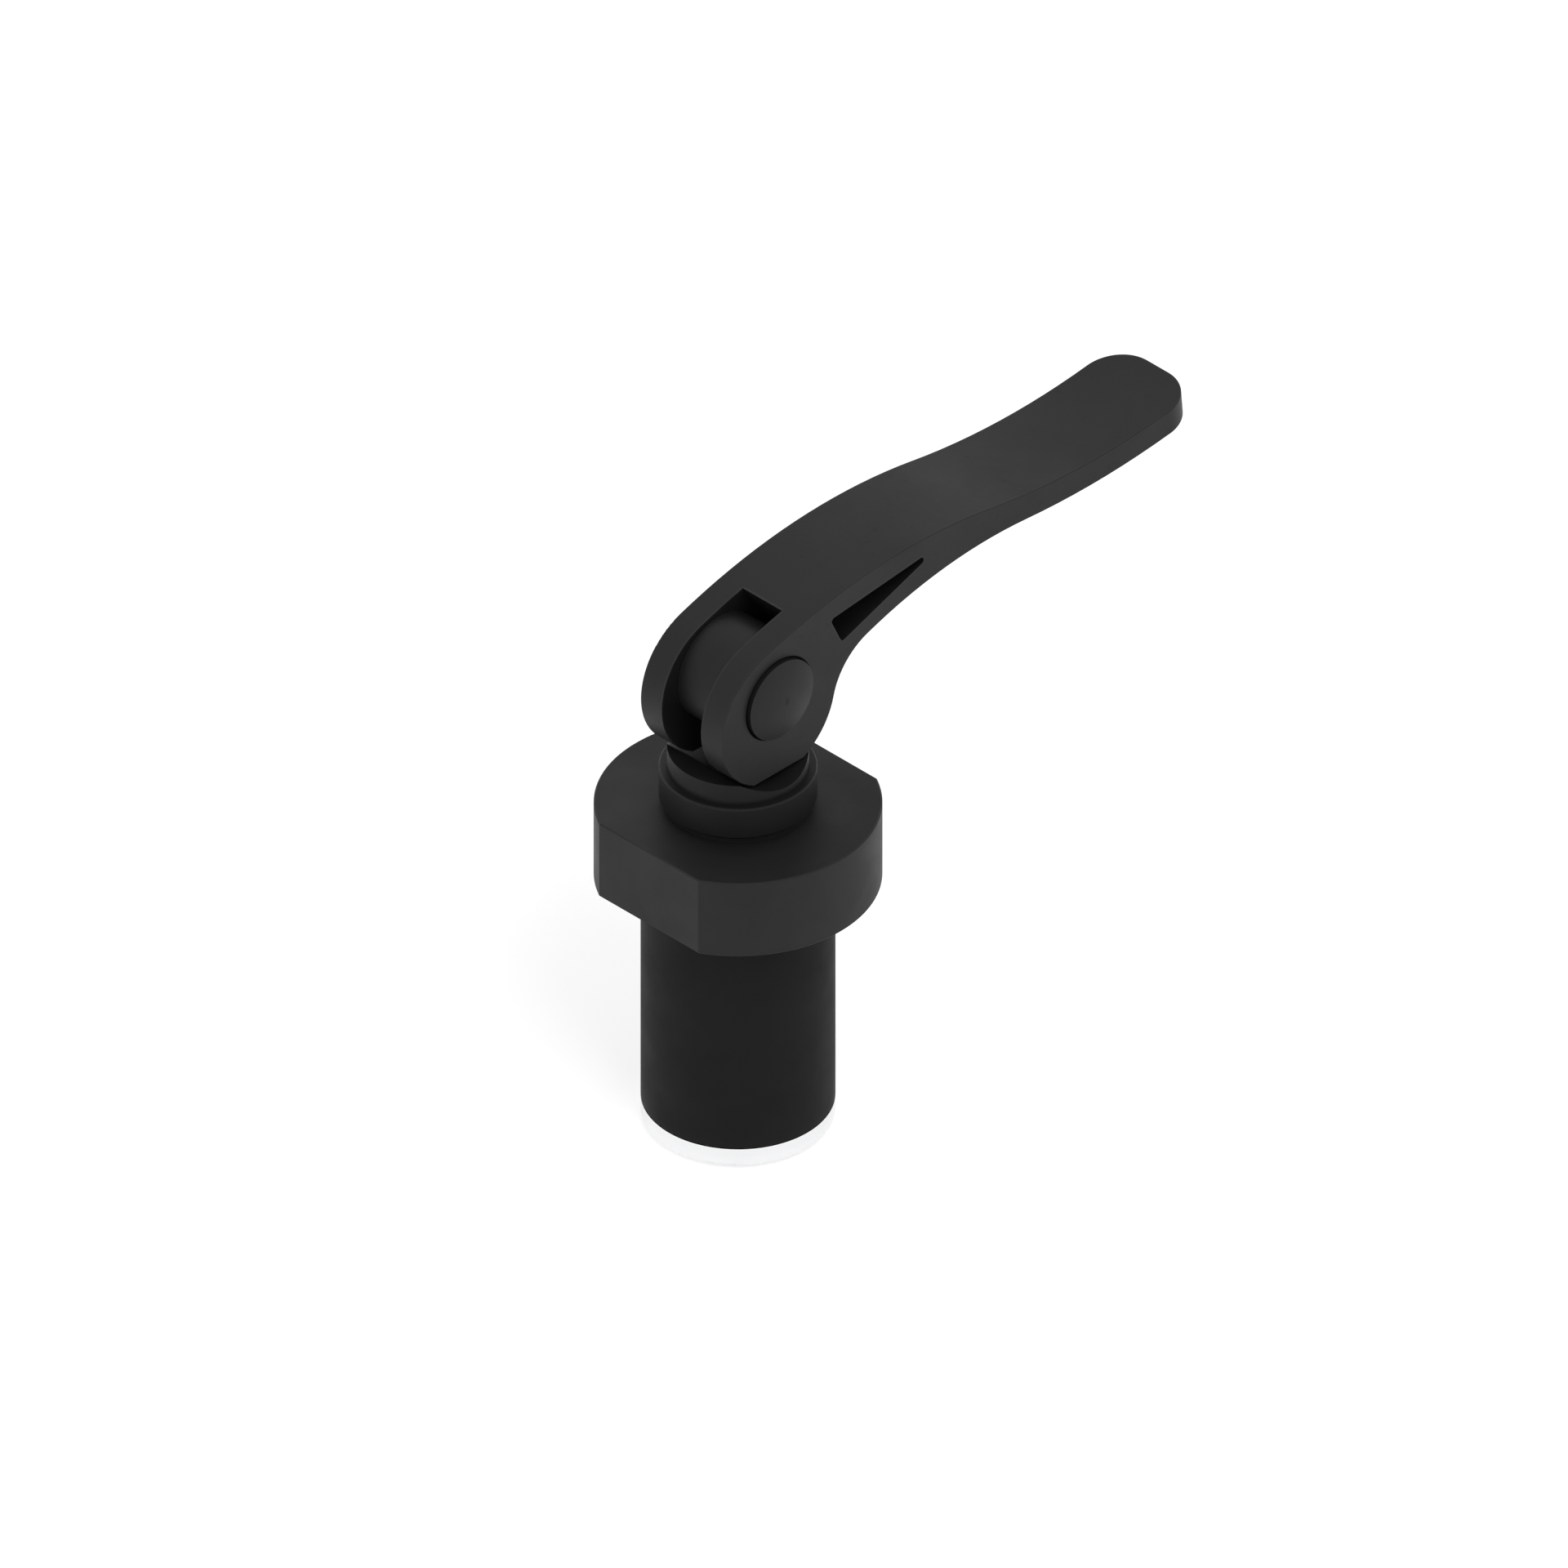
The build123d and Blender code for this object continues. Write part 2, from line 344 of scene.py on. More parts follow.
class EdgeWearAndHighlight(Effect):
    """A mask of a part's convex edges, broken up by noise: it paints a highlight along
    the edges together with rubbed wear.
    """

    label = "edge_wear_and_highlight"
    takes = {
        "Vector": "NodeSocketVector",
        "Width": "NodeSocketFloat",
        "Breaks per metre": "NodeSocketFloat",
    }
    gives = ("Rub and highlight",)
    open_share: ClassVar[Span] = (0.80, 0.60)
    break_level: ClassVar[Span] = (0.36, 0.62)
    least_edge_mark: ClassVar[float] = 0.65

    @classmethod
    def build(cls, wiring: Wiring, given: Any) -> dict[str, bpy.types.NodeSocket]:
        """Asks how soon the inside meets another face; see Effect.build."""
        inward = wiring.node(
            "ShaderNodeAmbientOcclusion",
            {"Distance": given["Width"]},
            inside=True,
            only_local=True,
            samples=OCCLUSION_SAMPLES,
        )
        edge = wiring.span(inward.outputs["AO"], cls.open_share, UNIT)
        breaks = wiring.noise(given["Vector"], given["Breaks per metre"], detail=3.0)
        held = wiring.span(breaks, cls.break_level, (cls.least_edge_mark, 1.0))
        return {"Rub and highlight": wiring.maths("MULTIPLY", edge, held)}


class SlotShade(Effect):
    """A mask of a part's own slots and windows, from how much of the outside is covered
    nearby: it paints shade into the colour there and dulls the gloss.
    """

    label = "slot_shade"
    takes = {"Reach": "NodeSocketFloat"}
    gives = ("Depth",)
    open_share: ClassVar[Span] = (0.80, 0.45)

    @classmethod
    def build(cls, wiring: Wiring, given: Any) -> dict[str, bpy.types.NodeSocket]:
        """Asks how much of the outside is covered nearby; see Effect.build."""
        outward = wiring.node(
            "ShaderNodeAmbientOcclusion",
            {"Distance": given["Reach"]},
            only_local=True,
            samples=OCCLUSION_SAMPLES,
        )
        return {"Depth": wiring.span(outward.outputs["AO"], cls.open_share, UNIT)}


class Handling(Effect):
    """Slow smears and fine scuffs in the gloss, as from gloves and a parts bin."""

    label = "handling"
    takes = {
        "Vector": "NodeSocketVector",
        "Smears per metre": "NodeSocketFloat",
    }
    gives = ("Smear", "Scuff")
    scuffs_to_a_smear: ClassVar[float] = 9.0
    smear_level: ClassVar[Span] = (0.32, 0.68)
    scuff_level: ClassVar[Span] = (0.62, 0.74)

    @classmethod
    def build(cls, wiring: Wiring, given: Any) -> dict[str, bpy.types.NodeSocket]:
        """Wires a slow noise and a thresholded fine one; see Effect.build."""
        scale = given["Smears per metre"]
        slow = wiring.noise(given["Vector"], scale, detail=3.0)
        fast = wiring.maths("MULTIPLY", scale, cls.scuffs_to_a_smear)
        fine = wiring.noise(given["Vector"], fast, detail=4.0)
        return {
            "Smear": wiring.span(slow, cls.smear_level, UNIT),
            "Scuff": wiring.span(fine, cls.scuff_level, UNIT),
        }


# --------------------------------------------------------------------------------------
# Finishes
# --------------------------------------------------------------------------------------
@dataclass(frozen=True)
class Finish:
    """What every finish has: a colour, its gloss, and how far each may stray."""

    name: str
    colour: Colour
    # The paler colour is for rubbed edges, where it also paints a highlight, and for
    # scuffs and bloom on mouldings.
    paler_colour: Colour
    roughness: Span
    bump: float
    metallic: float = 0.0
    specular: float = 0.5

    def toned(self, share: float) -> Colour:
        """Returns the colour, darkened to a share of itself."""
        red, green, blue = self.colour
        return (share * red, share * green, share * blue)

    def start(self) -> tuple[bpy.types.Material, Wiring, bpy.types.NodeSocket]:
        """Makes an empty material.

        Returns:
            The material, its wiring and the socket with the part's own coordinates.
        """
        material = bpy.data.materials.new(self.name)
        material.use_nodes = True
        material.node_tree.nodes.clear()
        wiring = Wiring(material.node_tree)
        coordinates = wiring.node("ShaderNodeTexCoord")
        return material, wiring, coordinates.outputs["Object"]

    def close(
        self,
        wiring: Wiring,
        colour: bpy.types.NodeSocket,
        roughness: bpy.types.NodeSocket,
        height: bpy.types.NodeSocket,
    ) -> None:
        """Ends a material with its bump, its surface and its output.

        Args:
            wiring: adds nodes to the material.
            colour: the surface's colour.
            roughness: its roughness.
            height: its relief, from 0 to 1.
        """
        relief = wiring.node(
            "ShaderNodeBump", {"Height": height, "Distance": self.bump, "Strength": 1.0}
        )
        surface = wiring.node(
            "ShaderNodeBsdfPrincipled",
            {
                "Base Color": colour,
                "Roughness": roughness,
                "Metallic": self.metallic,
                "Specular IOR Level": self.specular,
                "Normal": relief.outputs[0],
            },
        )
        wiring.node("ShaderNodeOutputMaterial", {"Surface": surface.outputs[0]})

    def material(self) -> bpy.types.Material:
        """Returns the finish as a material."""
        raise NotImplementedError


@dataclass(frozen=True)
class PowderCoat(Finish):
    """Matt powder coat: orange peel, edges paler from rubbing and a painted highlight,
    painted shade and a duller gloss in its own slots.
    """

    peel_per_metre: float = 1500.0
    patches_per_metre: float = 45.0
    patch_tone: float = 0.86
    edge_width: float = 0.5 * MM
    breaks_per_metre: float = 700.0
    smears_per_metre: float = 90.0
    scuff_dulling: float = 0.06
    slot_reach: float = 8.0 * MM
    # Painted shade: the share of its colour that the coat keeps deep in its own slots
    # and windows.
    slot_shade_tone: float = 0.05
    slot_dulling: float = 0.4

    def material(self) -> bpy.types.Material:
        """Returns the coat as a material."""
        material, wiring, place = self.start()
        skin = SkinGrain.place(
            wiring,
            Vector=place,
            Grains_per_metre=self.peel_per_metre,
            Patches_per_metre=self.patches_per_metre,
        )
        edge = EdgeWearAndHighlight.place(
            wiring,
            Vector=place,
            Width=self.edge_width,
            Breaks_per_metre=self.breaks_per_metre,
        )
        marks = Handling.place(
            wiring, Vector=place, Smears_per_metre=self.smears_per_metre
        )
        depth = SlotShade.place(wiring, Reach=self.slot_reach)["Depth"]
        patchy = wiring.blend_colours(
            skin["Patch"], self.toned(self.patch_tone), self.colour
        )
        # Edges paler from rubbing, with a painted highlight along them.
        rubbed_and_lit = wiring.blend_colours(edge["Rub and highlight"], patchy, self.paler_colour)
        # Painted shade: the colour is darkened where the slot mask is deep, in the
        # lever's own slots and windows.
        colour = wiring.blend_colours(depth, rubbed_and_lit, self.toned(self.slot_shade_tone))
        gloss = wiring.span(marks["Smear"], UNIT, self.roughness)
        scuffed = wiring.maths(
            "MULTIPLY_ADD", marks["Scuff"], self.scuff_dulling, gloss
        )
        dulled = wiring.maths("MULTIPLY_ADD", depth, self.slot_dulling, scuffed)
        self.close(wiring, colour, dulled, skin["Grain"])
        return material


@dataclass(frozen=True)
class TurnedMetal(Finish):
    """Turned metal: tool rings, patchy tone, and edges paler from rubbing and a painted
    highlight.
    """

    axis: TurnAxis = TurnAxis.UPRIGHT
    axis_height: float = 0.0
    rings_per_metre: float = 5200.0
    chatter_per_metre: float = 260.0
    band_depth: float = 0.16
    edge_width: float = 0.35 * MM
    breaks_per_metre: float = 900.0
    smears_per_metre: float = 130.0
    scuff_dulling: float = 0.05

    def coordinates(
        self, wiring: Wiring, place: bpy.types.NodeSocket
    ) -> bpy.types.NodeSocket:
        """Turns the coordinates so that the part's own axis is Z.

        Args:
            wiring: adds nodes to the material.
            place: the part's coordinates.

        Returns:
            The turned coordinates.
        """
        if self.axis is TurnAxis.UPRIGHT:
            return place
        moved = wiring.node(
            "ShaderNodeMapping",
            {"Vector": place, "Location": (0, 0, -self.axis_height)},
        )
        turned = wiring.node(
            "ShaderNodeMapping",
            {"Vector": moved.outputs[0], "Rotation": (math.pi / 2, 0, 0)},
        )
        return turned.outputs[0]

    def material(self) -> bpy.types.Material:
        """Returns the metal as a material."""
        material, wiring, place = self.start()
        rings = LatheMarks.place(
            wiring,
            Vector=self.coordinates(wiring, place),
            Rings_per_metre=self.rings_per_metre,
            Chatter_per_metre=self.chatter_per_metre,
        )
        edge = EdgeWearAndHighlight.place(
            wiring,
            Vector=place,
            Width=self.edge_width,
            Breaks_per_metre=self.breaks_per_metre,
        )
        marks = Handling.place(
            wiring, Vector=place, Smears_per_metre=self.smears_per_metre
        )
        banded = wiring.blend_colours(
            rings["Band"], self.toned(1.0 - self.band_depth), self.colour
        )
        # Edges paler from rubbing, with a painted highlight along them.
        colour = wiring.blend_colours(edge["Rub and highlight"], banded, self.paler_colour)
        gloss = wiring.span(marks["Smear"], UNIT, self.roughness)
        scuffed = wiring.maths(
            "MULTIPLY_ADD", marks["Scuff"], self.scuff_dulling, gloss
        )
        self.close(wiring, colour, scuffed, rings["Ring"])
        return material


@dataclass(frozen=True)
class Moulded(Finish):
    """A moulded skin, hard or soft: spark-eroded grain and a slow bloom."""

    grains_per_metre: float = 3600.0
    patches_per_metre: float = 70.0
    bloom: float = 0.35
    smears_per_metre: float = 150.0
    scuff_tone: float = 0.25

    def material(self) -> bpy.types.Material:
        """Returns the moulding's skin as a material."""
        material, wiring, place = self.start()
        skin = SkinGrain.place(
            wiring,
            Vector=place,
            Grains_per_metre=self.grains_per_metre,
            Patches_per_metre=self.patches_per_metre,
        )
        marks = Handling.place(
            wiring, Vector=place, Smears_per_metre=self.smears_per_metre
        )
        bloomed = wiring.maths("MULTIPLY", skin["Patch"], self.bloom)
        scuffed = wiring.maths(
            "MULTIPLY_ADD", marks["Scuff"], self.scuff_tone, bloomed
        )
        colour = wiring.blend_colours(scuffed, self.colour, self.paler_colour)
        gloss = wiring.span(marks["Smear"], UNIT, self.roughness)
        self.close(wiring, colour, gloss, skin["Grain"])
        return material


LEVER_COAT = PowderCoat(
    name="lever_powder_coat",
    colour=(0.0060, 0.0060, 0.0061),
    paler_colour=(0.0180, 0.0180, 0.0183),
    roughness=(0.48, 0.56),
    specular=0.275,
    bump=0.012 * MM,
)
FLANGE_OXIDE = TurnedMetal(
    name="flange_black_oxide",
    colour=(0.0078, 0.0078, 0.0079),
    paler_colour=(0.0200, 0.0200, 0.0203),
    roughness=(0.52, 0.60),
    metallic=0.15,
    specular=0.345,
    bump=0.006 * MM,
)
RING_OXIDE = TurnedMetal(
    name="ring_black_oxide",
    colour=(0.0072, 0.0072, 0.0073),
    paler_colour=(0.0085, 0.0085, 0.0087),
    roughness=(0.46, 0.54),
    metallic=0.15,
    specular=0.25,
    bump=0.006 * MM,
)
CAP_POLYMER = Moulded(
    name="cap_black_polymer",
    colour=(0.0062, 0.0062, 0.0063),
    paler_colour=(0.0095, 0.0095, 0.0096),
    roughness=(0.46, 0.54),
    specular=0.24,
    bump=0.008 * MM,
)
SLEEVE_RUBBER = Moulded(
    name="sleeve_black_rubber",
    colour=(0.0075, 0.0075, 0.0077),
    paler_colour=(0.012, 0.012, 0.012),
    roughness=(0.62, 0.70),
    specular=0.12,
    bump=0.010 * MM,
    grains_per_metre=2600.0,
)
ROD_OXIDE = TurnedMetal(
    name="rod_black_oxide",
    colour=(0.0072, 0.0072, 0.0073),
    paler_colour=(0.0150, 0.0150, 0.0153),
    roughness=(0.40, 0.50),
    metallic=0.15,
    specular=0.25,
    bump=0.004 * MM,
)
BRIGHT_STEEL = TurnedMetal(
    name="bright_plated_steel",
    colour=(0.865, 0.87, 0.875),
    paler_colour=(0.94, 0.94, 0.94),
    roughness=(0.24, 0.34),
    metallic=1.0,
    bump=0.004 * MM,
    band_depth=0.05,
)


# --------------------------------------------------------------------------------------
# Modelling by hand tools
# --------------------------------------------------------------------------------------
class Bench:
    """The hand tools that new pieces are modelled with."""

    WELD = 0.002 * MM
    CRISP_ANGLE = 30.0

    @staticmethod
    def edit(piece: bpy.types.Object) -> None:
        """Opens one piece for editing, with all of it selected."""
        Bench.pick(piece)
        bpy.ops.object.mode_set(mode="EDIT")
        bpy.ops.mesh.select_all(action="SELECT")

    @staticmethod
    def pick(piece: bpy.types.Object) -> None:
        """Selects one piece alone and makes it the active one."""
        bpy.ops.object.select_all(action="DESELECT")
        piece.select_set(True)
        bpy.context.view_layer.objects.active = piece

    @staticmethod
    def draw(name: str, points: list[Point]) -> bpy.types.Object:
        """Draws an open line in the XZ plane, point after point.

        Args:
            name: the piece's name.
            points: radius and height of each point.

        Returns:
            The line as a mesh object at the origin.
        """
        bpy.ops.object.select_all(action="DESELECT")
        bpy.ops.mesh.primitive_plane_add(size=MM, location=(0, 0, 0))
        piece = bpy.context.object
        piece.name = piece.data.name = name
        Bench.edit(piece)
        bpy.ops.mesh.merge(type="CENTER")
        bpy.ops.transform.translate(value=(points[0][0], 0, points[0][1]))
        for (x0, z0), (x1, z1) in zip(points, points[1:]):
            bpy.ops.mesh.extrude_vertices_move(
                TRANSFORM_OT_translate={"value": (x1 - x0, 0, z1 - z0)}
            )
        bpy.ops.object.mode_set(mode="OBJECT")
        return piece

    @staticmethod
    def turn(name: str, points: list[Point], steps: int) -> bpy.types.Object:
        """Turns a line round the Z axis, as on a lathe.

        Args:
            name: the piece's name.
            points: radius and height of each point. A closed line repeats its first.
            steps: how many flats go round.

        Returns:
            The closed piece.
        """
        piece = Bench.draw(name, points)
        Bench.edit(piece)
        bpy.ops.mesh.spin(
            steps=steps, angle=2 * math.pi, center=(0, 0, 0), axis=(0, 0, 1)
        )
        Bench.seal()
        return piece

    @staticmethod
    def seal() -> None:
        """Welds the edited mesh, turns its faces out if closed, leaves edit mode."""
        bpy.ops.mesh.select_all(action="SELECT")
        bpy.ops.mesh.remove_doubles(threshold=Bench.WELD)
        bpy.ops.mesh.select_all(action="SELECT")
        bpy.ops.mesh.normals_make_consistent(inside=False)
        bpy.ops.object.mode_set(mode="OBJECT")

    @staticmethod
    def saw(piece: bpy.types.Object, height: float, keep_above: bool) -> None:
        """Saws a closed piece off level and fills the cut.

        Args:
            piece: the piece.
            height: the cut's height.
            keep_above: whether the part above the cut stays.
        """
        Bench.edit(piece)
        bpy.ops.mesh.bisect(
            plane_co=(0, 0, height),
            plane_no=(0, 0, 1),
            use_fill=True,
            clear_inner=keep_above,
            clear_outer=not keep_above,
        )
        bpy.ops.object.mode_set(mode="OBJECT")

    @staticmethod
    def combine(
        piece: bpy.types.Object, tool: bpy.types.Object, operation: str
    ) -> None:
        """Joins or cuts a piece with a tool, then takes the tool away.

        Args:
            piece: the piece that stays.
            tool: the other solid.
            operation: UNION, INTERSECT or DIFFERENCE.
        """
        Bench.pick(piece)
        cut = piece.modifiers.new(operation.lower(), "BOOLEAN")
        cut.operation = operation
        cut.solver = "EXACT"
        cut.object = tool
        bpy.ops.object.modifier_apply(modifier=cut.name)
        Bench.pick(tool)
        bpy.ops.object.delete()

    @staticmethod
    def finish(
        piece: bpy.types.Object,
        material: bpy.types.Material,
        angle: float = CRISP_ANGLE,
    ) -> None:
        """Smooths a piece below an edge angle and gives it its material.

        Args:
            piece: the piece.
            material: its finish.
            angle: edges sharper than this, in degrees, stay crisp.
        """
        Bench.pick(piece)
        bpy.ops.object.shade_smooth_by_angle(angle=math.radians(angle))
        piece.data.materials.clear()
        piece.data.materials.append(material)
        bpy.ops.object.select_all(action="DESELECT")


def arc(
    centre: Point, radius: float, start: float, end: float, steps: int
) -> list[Point]:
    """Lists points along an arc.

    Args:
        centre: the arc's centre.
        radius: its radius.
        start: its first angle, in degrees.
        end: its last angle, in degrees.
        steps: how many chords it has.

    Returns:
        The points, both ends included.
    """
    angles = [math.radians(start + (end - start) * i / steps) for i in range(steps + 1)]
    return [
        (centre[0] + radius * math.cos(a), centre[1] + radius * math.sin(a))
        for a in angles
    ]


def ladder(radius: float, start: float, end: float, steps: int) -> list[Point]:
    """Lists evenly spaced points up or down a wall, without its two ends.

    Args:
        radius: the wall's radius.
        start: the height it starts from.
        end: the height it ends at.
        steps: how many parts it is divided into.

    Returns:
        The points between the ends.
    """
    return [(radius, start + (end - start) * i / steps) for i in range(1, steps)]


def dress(nodes: dict[str, bpy.types.Object], name: str, finish: Finish) -> None:
    """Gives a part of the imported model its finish.

    Args:
        nodes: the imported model's parts, by name.
        name: the part.
        finish: what its surface is.
    """
    part = nodes[name]
    material = bpy.data.materials.get(finish.name) or finish.material()
    for place in part.material_slots:
        place.material = material
    LOG.info("dressed %s with %s", name, finish.name)


# --------------------------------------------------------------------------------------
# Sub-assemblies
# --------------------------------------------------------------------------------------
@dataclass
class Handle:
    """The forked lever, the pin it turns on and the collar between its ears."""

    coat: Finish = LEVER_COAT

    def dress(self, nodes: dict[str, bpy.types.Object]) -> None:
        """Gives the lever, the pin and the collar their finishes."""
        low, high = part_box("pivot_pin")
        pin_oxide = TurnedMetal(
            name="pin_black_oxide",
            colour=(0.0072, 0.0072, 0.0073),
            paler_colour=(0.0170, 0.0170, 0.0174),
            roughness=(0.46, 0.54),
            metallic=0.15,
            specular=0.28,
            bump=0.005 * MM,
            axis=TurnAxis.ALONG_PIN,
            axis_height=(low.z + high.z) / 2,
        )
        dress(nodes, "lever", self.coat)
        dress(nodes, "pivot_pin", pin_oxide)
        dress(nodes, "barrel_collar", pin_oxide)


@dataclass
class SaddleStack:
    """The slide washer, the thrust ring and the hollow cap that the cam rides in."""

    plastic: Finish = CAP_POLYMER
    metal: Finish = RING_OXIDE

    def dress(self, nodes: dict[str, bpy.types.Object]) -> None:
        """Gives the stack its finishes."""
        dress(nodes, "slide_washer", self.plastic)
        dress(nodes, "thrust_ring", self.metal)
        dress(nodes, "saddle_cap", self.plastic)


@dataclass
class TieRod:
    """The rod from the disc up to the pin, with the thread that the pin turns on to.

    Known fault: thread() leaves the screw open at both ends, so neither the cuts nor
    the booleans after it give a closed solid. The last union comes out differently from
    run to run. It mostly loses the shank and the riveted end, and the thread's faces
    point inwards.
    """

    pitch: float = 1.0 * MM
    crest_share: float = 0.125
    root_share: float = 0.25
    crest_inset: float = 0.015 * MM
    thread_depth: float = 0.55 * MM
    thread_length: float = 20.0 * MM
    spare_turns: int = 2
    end_chamfer: float = 0.7 * MM
    blank_margin: float = 0.2
    lap_share: float = 0.6
    rivet_radius: float = 2.25 * MM
    rivet_flare: float = 0.8 * MM
    crisp_angle: float = 35.0
    steps: int = 48

    def build(self) -> bpy.types.Object:
        """Models the rod; see the class's known fault.

        Returns:
            The rod, riding on the rod body. It may lack its shank.
        """
        low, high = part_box("tie_rod")
        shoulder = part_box("pressure_disc")[1].z
        radius = self.rod_radius()
        rod = self.thread(radius, high.z)
        Bench.combine(rod, self.shank(radius, low.z, shoulder, high.z), "UNION")
        Bench.finish(rod, ROD_OXIDE.material(), self.crisp_angle)
        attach(rod, Body.ROD.value)
        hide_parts("tie_rod")
        return rod

    @staticmethod
    def rod_radius() -> float:
        """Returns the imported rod's radius."""
        low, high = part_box("tie_rod")
        return (high.y - low.y) / 2

    def thread(self, radius: float, top: float) -> bpy.types.Object:
        """Cuts the thread, sawn off below and chamfered above.

        Args:
            radius: the rod's radius.
            top: the height of its upper end.

        Returns:
            The threaded length, which isn't closed.
        """
        crest = radius - self.crest_inset
        root = radius - self.thread_depth
        foot = top - self.thread_length
        flank = (1.0 - self.crest_share - self.root_share) / 2
        heights = (0.0, self.root_share, self.root_share + flank, 1.0 - flank, 1.0)
        radii = (root, root, crest, crest, root)
        start = foot - self.spare_turns * self.pitch
        tooth = [(r, start + h * self.pitch) for r, h in zip(radii, heights)]
        piece = Bench.draw("threaded_tie_rod", tooth)
        screw = piece.modifiers.new("thread", "SCREW")
        screw.axis = "Z"
        screw.screw_offset = self.pitch
        turns = round(self.thread_length / self.pitch)
        screw.iterations = turns + 2 * self.spare_turns
        screw.steps = screw.render_steps = self.steps
        bpy.ops.object.modifier_apply(modifier=screw.name)
        Bench.edit(piece)
        Bench.seal()
        Bench.saw(piece, foot, keep_above=True)
        Bench.saw(piece, top, keep_above=False)
        Bench.edit(piece)
        Bench.seal()
        wide = (1 + self.blank_margin) * radius
        bevel_foot = top - self.end_chamfer - self.blank_margin * radius
        profile = [
            (0.0, foot - self.pitch),
            (wide, foot - self.pitch),
            (wide, bevel_foot),
            (radius - self.end_chamfer, top),
            (0.0, top),
        ]
        blank = Bench.turn("rod_blank", profile, self.steps)
        Bench.combine(piece, blank, "INTERSECT")
        return piece

    def shank(
        self, radius: float, bottom: float, shoulder: float, top: float
    ) -> bpy.types.Object:
        """Turns the plain part, from the riveted end to the thread's run-out.

        Args:
            radius: the rod's radius.
            bottom: the height of the riveted end.
            shoulder: the height of the shoulder on the disc.
            top: the height of the rod's upper end.

        Returns:
            The plain part as a solid.
        """
        foot = top - self.thread_length
        lap = self.lap_share * self.pitch
        profile = [
            (0.0, bottom),
            (self.rivet_radius + self.rivet_flare, bottom),
            (self.rivet_radius, bottom + self.rivet_flare),
            (self.rivet_radius, shoulder),
            (radius, shoulder),
            (radius, foot + lap),
            (radius - self.thread_depth, foot + lap + self.thread_depth),
            (0.0, foot + lap + self.thread_depth),
        ]
        return Bench.turn("rod_shank", profile, self.steps)


@dataclass
class ClampBody:
    """The flange, the rubber sleeve under it and the disc that squeezes the sleeve."""

    end_round: float = 0.35 * MM
    bore_chamfer: float = 0.25 * MM
    bore_slack: float = 0.3 * MM
    round_steps: int = 5
    wall_rings: int = 28
    steps: int = 160

    def dress(self, nodes: dict[str, bpy.types.Object]) -> None:
        """Gives the flange and the disc their finishes."""
        dress(nodes, "flange", FLANGE_OXIDE)
        dress(nodes, "pressure_disc", BRIGHT_STEEL)

    def build(self) -> bpy.types.Object:
        """Moulds the sleeve.

        Returns:
            The sleeve, baked in place and not attached to any body.
        """
        low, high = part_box("elastomer_sleeve")
        outside = (high.y - low.y) / 2
        bore = TieRod.rod_radius() + self.bore_slack
        bend, chamfer = self.end_round, self.bore_chamfer
        foot, head = low.z, high.z
        outer_foot = arc(
            (outside - bend, foot + bend), bend, -90.0, 0.0, self.round_steps
        )
        outer_head = arc(
            (outside - bend, head - bend), bend, 0.0, 90.0, self.round_steps
        )
        profile = [
            (bore + chamfer, foot),
            *outer_foot,
            *ladder(outside, foot + bend, head - bend, self.wall_rings),
            *outer_head,
            (bore + chamfer, head),
            (bore, head - chamfer),
            *ladder(bore, head - chamfer, foot + chamfer, self.wall_rings),
            (bore, foot + chamfer),
            (bore + chamfer, foot),
        ]
        sleeve = Bench.turn("rubber_sleeve", profile, self.steps)
        Bench.finish(sleeve, SLEEVE_RUBBER.material())
        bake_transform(sleeve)
        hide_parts("elastomer_sleeve")
        return sleeve


# --------------------------------------------------------------------------------------
# Studio
# --------------------------------------------------------------------------------------
@dataclass(frozen=True)
class Lamp:
    """A square soft light that looks at the middle of the object."""

    name: str
    place: tuple[float, float, float]
    size: float
    power: float

    def hang(self, target: Vector) -> bpy.types.Object:
        """Hangs the lamp.

        Args:
            target: the point it looks at.

        Returns:
            The lamp.
        """
        bpy.ops.object.light_add(type="AREA", location=self.place)
        lamp = bpy.context.object
        lamp.name = lamp.data.name = self.name
        lamp.data.shape = "SQUARE"
        lamp.data.size = self.size
        lamp.data.energy = self.power
        lamp.visible_glossy = False
        away = Vector(self.place) - target
        lamp.rotation_euler = away.to_track_quat("Z", "Y").to_euler()
        return lamp


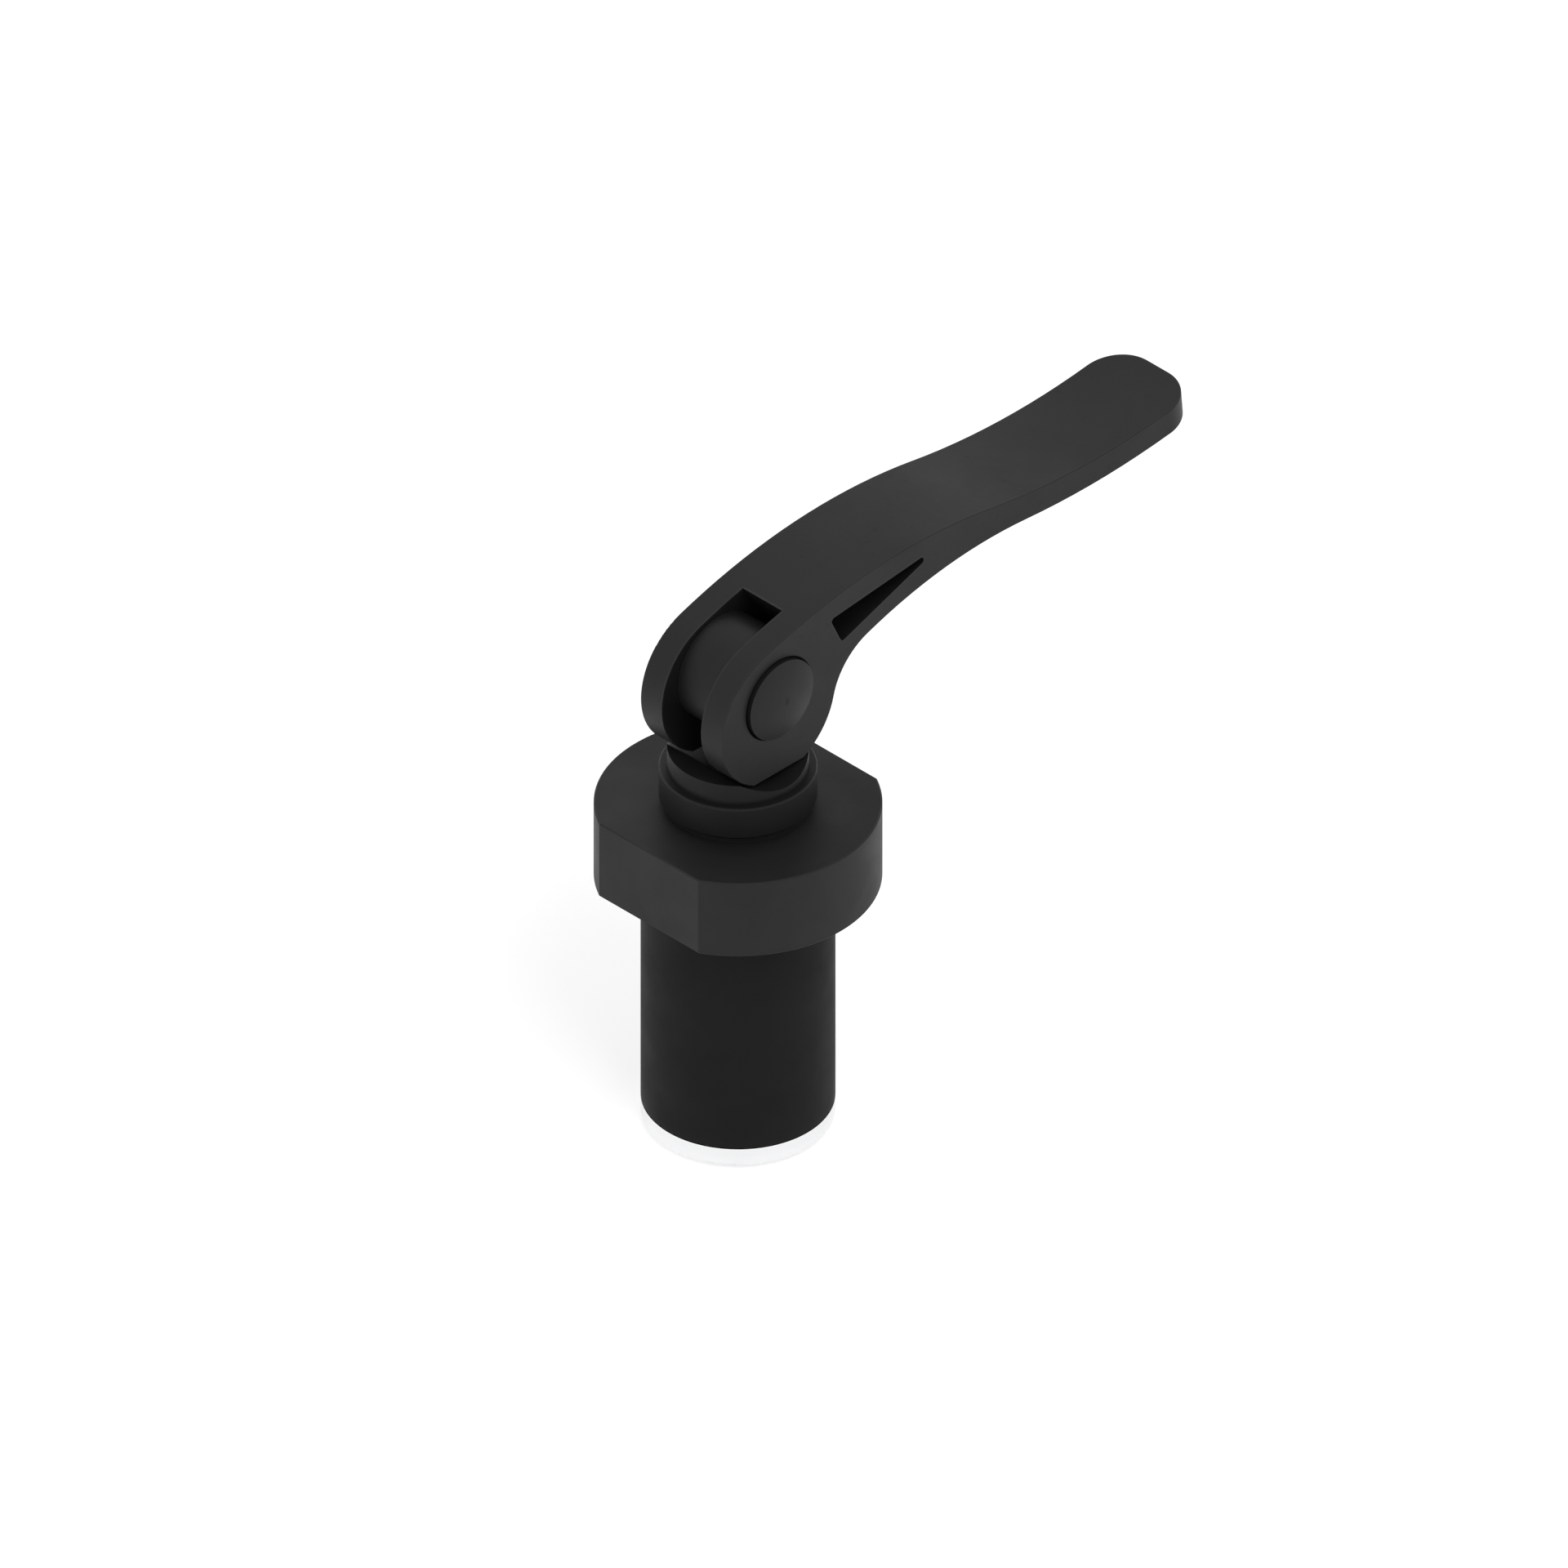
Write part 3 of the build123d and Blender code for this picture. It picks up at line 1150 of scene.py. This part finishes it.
@dataclass
class Studio:
    """The pale floor, the white surround, the soft lamps and the camera."""

    floor_size: float = 3.0
    floor_tone: float = 0.50
    floor_lift: float = 0.59
    surround: float = 0.70
    white: tuple[float, float, float, float] = (1.0, 1.0, 1.0, 1.0)
    back: tuple[float, float, float] = (-1.0, -1.0, 1.0)
    picture_width: float = 217.07 * MM
    shift_right: float = 6.365 * MM
    shift_up: float = 2.306 * MM
    seat_height: float = 12.4 * MM
    distance: float = 0.6
    lamps: tuple[Lamp, ...] = (
        Lamp("side_lamp", (-0.75, 0.15, 0.45), 0.7, 1.6),
        Lamp("over_lamp", (-0.20, -0.60, 0.85), 0.45, 5.0),
    )

    def build(self, joints: list[dict[str, Any]]) -> None:
        """Sets up everything round the object.

        Args:
            joints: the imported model's joints, which say how low the disc can go.
        """
        self.lay_floor(joints)
        self.light()
        self.set_camera()
        bpy.context.scene.view_settings.view_transform = "Standard"

    @staticmethod
    def seen(wiring: Wiring) -> bpy.types.NodeSocket:
        """Returns 1 for rays that show the surround as a backdrop, in gloss too."""
        path = wiring.node("ShaderNodeLightPath").outputs
        shown = wiring.maths("MAXIMUM", path["Is Camera Ray"], path["Is Glossy Ray"])
        return wiring.maths("MAXIMUM", shown, path["Is Transmission Ray"])

    def lay_floor(self, joints: list[dict[str, Any]]) -> None:
        """Lays the floor just under the disc's lowest reach.

        Args:
            joints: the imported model's joints.
        """
        reach = min(
            (j["range_m"][0] for j in joints if j["name"] == "rod_slide"), default=0.0
        )
        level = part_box("pressure_disc")[0].z + reach
        bpy.ops.mesh.primitive_plane_add(size=self.floor_size, location=(0, 0, 0))
        floor = bpy.context.object
        floor.name = floor.data.name = "floor"
        Bench.edit(floor)
        bpy.ops.transform.translate(value=(0, 0, level))
        bpy.ops.object.mode_set(mode="OBJECT")
        floor.data.materials.append(self.floor_material())

    def floor_material(self) -> bpy.types.Material:
        """Returns the floor's finish: pale, lifted for the camera, clear from below."""
        material = bpy.data.materials.new("pale_floor")
        material.use_nodes = True
        material.node_tree.nodes.clear()
        wiring = Wiring(material.node_tree)
        tone = (self.floor_tone,) * 3 + (1.0,)
        matt = wiring.node("ShaderNodeBsdfDiffuse", {"Color": tone})
        lift = wiring.maths("MULTIPLY", self.seen(wiring), self.floor_lift)
        glow = wiring.node("ShaderNodeEmission", {"Strength": lift})
        both = wiring.node(
            "ShaderNodeAddShader", {0: matt.outputs[0], 1: glow.outputs[0]}
        )
        below = wiring.node("ShaderNodeNewGeometry").outputs["Backfacing"]
        clear = wiring.node("ShaderNodeBsdfTransparent")
        sided = wiring.node(
            "ShaderNodeMixShader", {0: below, 1: both.outputs[0], 2: clear.outputs[0]}
        )
        wiring.node("ShaderNodeOutputMaterial", {"Surface": sided.outputs[0]})
        return material

    def light(self) -> None:
        """Lights the surround and hangs the lamps."""
        world = bpy.data.worlds.new("white_surround")
        bpy.context.scene.world = world
        world.use_nodes = True
        world.node_tree.nodes.clear()
        wiring = Wiring(world.node_tree)
        strength = wiring.span(self.seen(wiring), (0.0, 1.0), (self.surround, 1.0))
        sky = wiring.node(
            "ShaderNodeBackground", {"Color": self.white, "Strength": strength}
        )
        wiring.node("ShaderNodeOutputWorld", {"Surface": sky.outputs[0]})
        for lamp in self.lamps:
            lamp.hang(Vector((0, 0, self.seat_height)))

    def set_camera(self) -> None:
        """Sets the parallel camera, looking down on the object's front corner."""
        back = Vector(self.back).normalized()
        right = Vector((0, 0, 1)).cross(back).normalized()
        up = back.cross(right)
        middle = Vector((0, 0, self.seat_height))
        middle += right * self.shift_right + up * self.shift_up
        bpy.ops.object.camera_add(location=middle + back * self.distance)
        camera = bpy.context.object
        camera.name = camera.data.name = "camera"
        camera.data.type = "ORTHO"
        camera.data.ortho_scale = self.picture_width
        camera.rotation_euler = back.to_track_quat("Z", "Y").to_euler()
        bpy.context.scene.camera = camera


def clear_bench() -> None:
    """Removes whatever a new Blender file starts with."""
    bpy.ops.object.select_all(action="SELECT")
    bpy.ops.object.delete()


def main() -> None:
    """Loads the frame, builds and dresses every sub-assembly, and sets the studio."""
    logging.basicConfig(level=logging.INFO, format="%(name)s: %(message)s")
    clear_bench()
    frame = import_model()
    nodes = frame["nodes"]
    bpy.ops.object.select_all(action="DESELECT")

    Handle().dress(nodes)
    SaddleStack().dress(nodes)
    clamp = ClampBody()
    clamp.dress(nodes)
    for piece in (clamp.build(), TieRod().build()):
        LOG.info("built %s with %d faces", piece.name, len(piece.data.polygons))
    Studio().build(frame["joints"])


if __name__ == "__main__":
    main()
